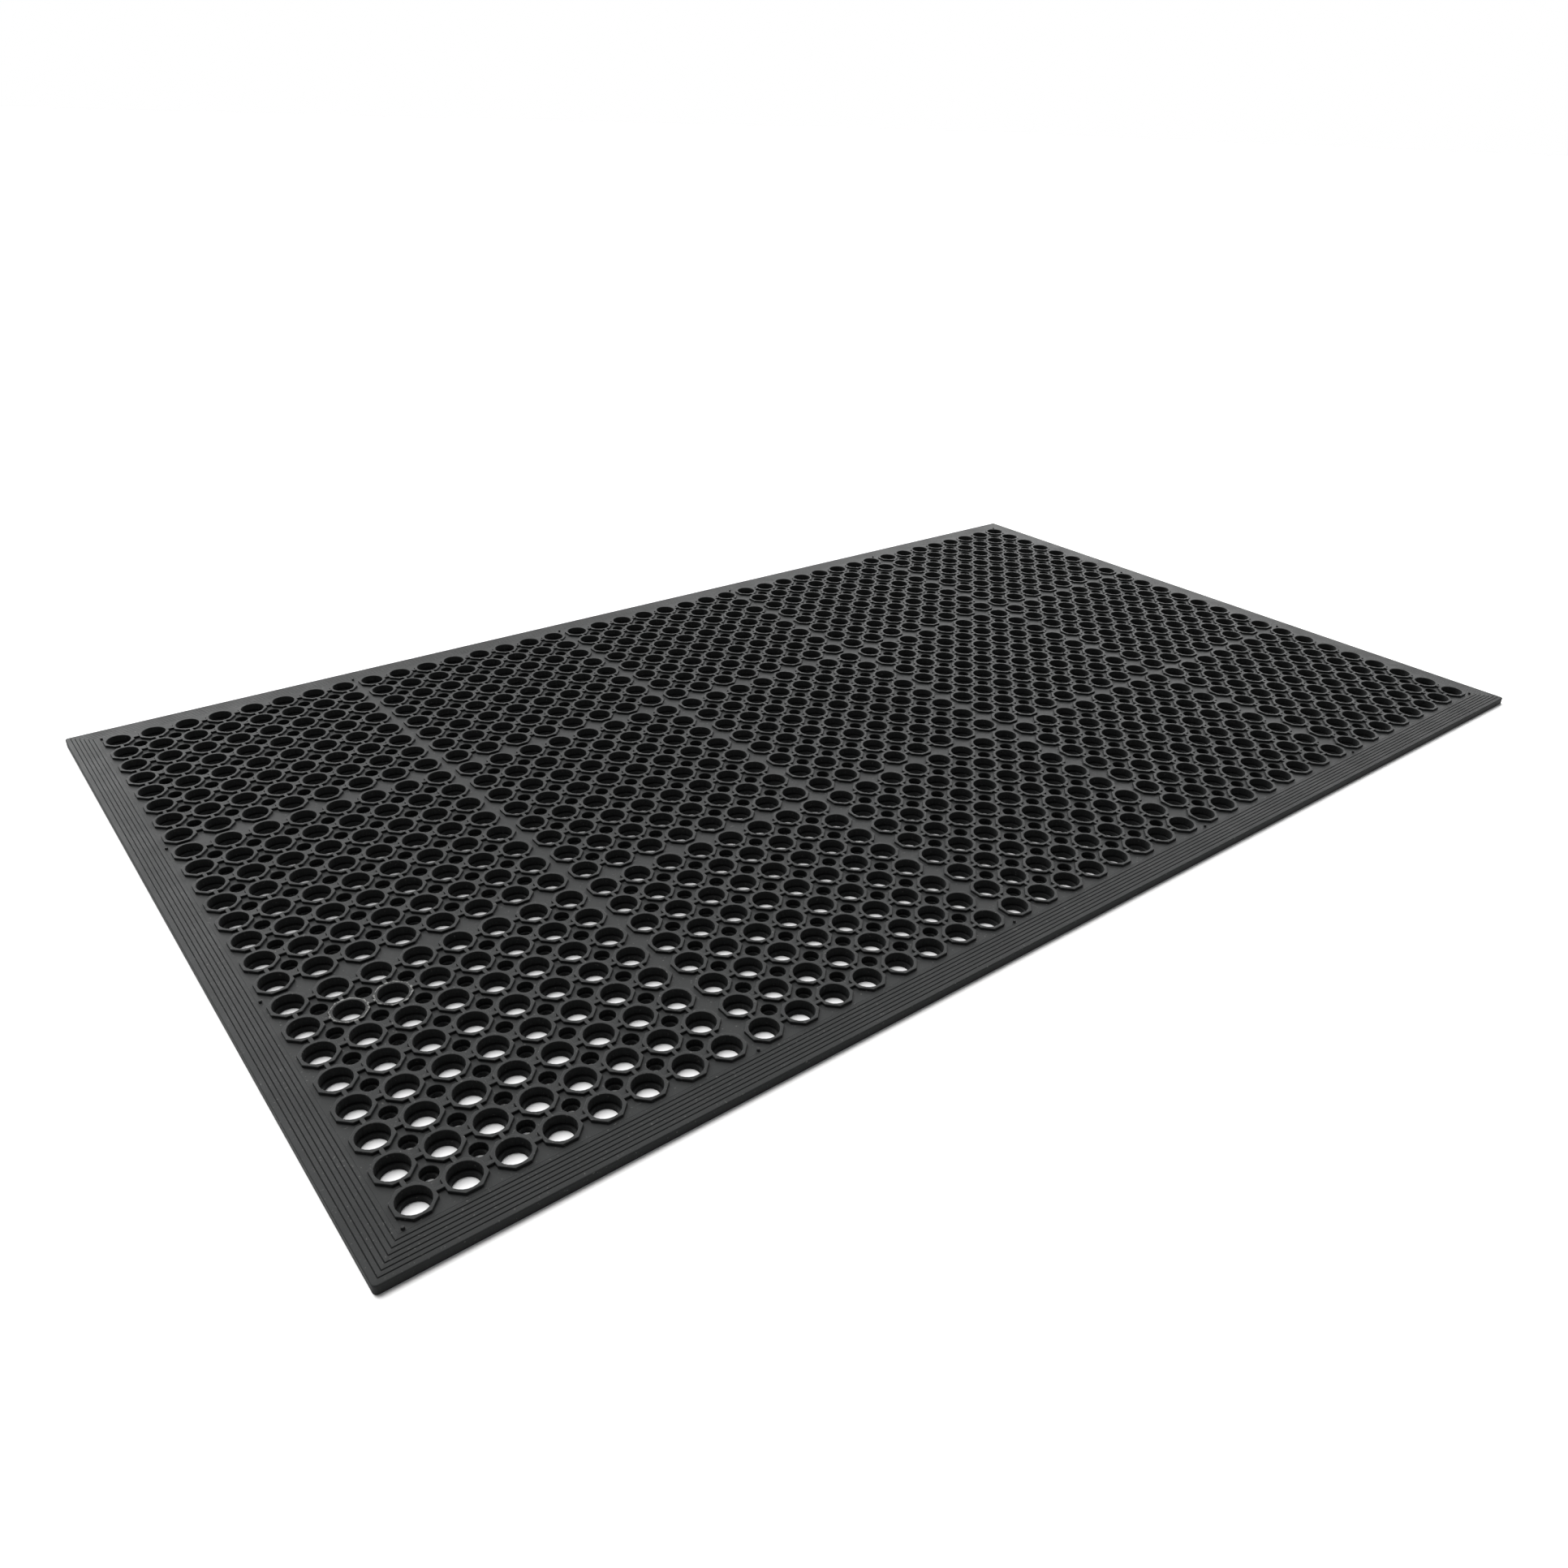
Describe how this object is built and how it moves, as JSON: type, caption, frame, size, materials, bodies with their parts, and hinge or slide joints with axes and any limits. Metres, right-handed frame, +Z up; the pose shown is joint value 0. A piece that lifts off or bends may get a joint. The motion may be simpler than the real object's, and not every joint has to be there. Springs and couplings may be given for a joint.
{
  "type": "drainage mat",
  "caption": "Flat rectangular rubber floor mat with panels of round drainage holes in raised rims and a ribbed border that slopes to the edge.",
  "frame": {"origin": "middle of the mat's underside, on the floor", "axes": "+X along the long side, +Y along the short side, +Z up through the thickness"},
  "size_m": [1.524, 0.9144, 0.0127],
  "materials": {
    "rubber": "matt moulded black rubber with a fine grain"
  },
  "bodies": {
    "root": {"mat_strip_1": "rubber", "mat_strip_2": "rubber", "mat_strip_3": "rubber", "mat_strip_4": "rubber", "mat_strip_5": "rubber"}
  },
  "joints": []
}
